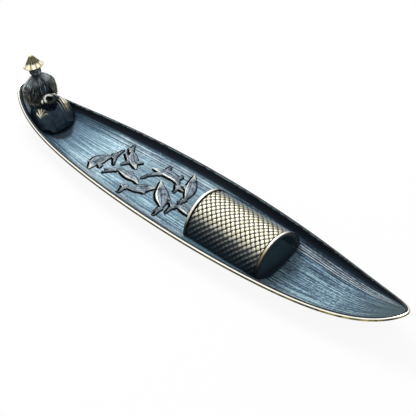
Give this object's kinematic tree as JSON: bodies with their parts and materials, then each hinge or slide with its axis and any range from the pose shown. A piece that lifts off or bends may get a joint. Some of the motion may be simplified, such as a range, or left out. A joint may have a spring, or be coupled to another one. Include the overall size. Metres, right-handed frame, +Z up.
{
  "type": "boat incense burner",
  "caption": "Shallow cast boat-shaped incense burner with a bright rail, a lift-off woven canopy, relief fish and a seated fisherman whose hands hold the stick.",
  "frame": {"origin": "middle of the footprint on the table, on the underside of the foot pads", "axes": "+X along the boat towards the bow, +Y to port, +Z up; the fisherman sits at the stern, at -X, and looks along +X"},
  "size_m": [0.235, 0.0464, 0.039],
  "materials": {
    "hull_casting": "blue-black patina over cast metal, fine lengthwise brush lines, rubbed lighter on the floor",
    "rubbed_brass": "polished pale brass on the crowns and edges, dark gold in the recesses",
    "antique_brass": "antiqued brass, bright on the raised straw, nearly black between",
    "fish_relief": "grey-blue patina with rubbed light edges",
    "figure_casting": "dark patina over cast metal, lighter on the straw strands",
    "screw_steel": "plain zinc plated",
    "pad_rubber": "matt black"
  },
  "bodies": {
    "hull": {"hull": "hull_casting", "gunwale_rail": "rubbed_brass", "fish_1": "fish_relief", "fish_2": "fish_relief", "fish_3": "fish_relief", "fish_4": "fish_relief", "fish_5": "fish_relief", "fish_6": "fish_relief", "fish_7": "fish_relief", "fish_8": "fish_relief", "fisherman_robe": "figure_casting", "fisherman_cape": "figure_casting", "fisherman_arms": "antique_brass", "fisherman_head": "figure_casting", "straw_hat": "rubbed_brass", "figure_screw": "screw_steel", "foot_pad_1": "pad_rubber", "foot_pad_2": "pad_rubber", "foot_pad_3": "pad_rubber", "foot_pad_4": "pad_rubber"},
    "canopy": {"canopy_mat": "antique_brass", "canopy_hoop_stern": "rubbed_brass", "canopy_hoop_bow": "rubbed_brass"}
  },
  "joints": [
    {"name": "canopy_lift", "type": "slide", "parent": "hull", "child": "canopy", "axis": [0, 0, 1], "range_m": [0, 0.045]}
  ]
}
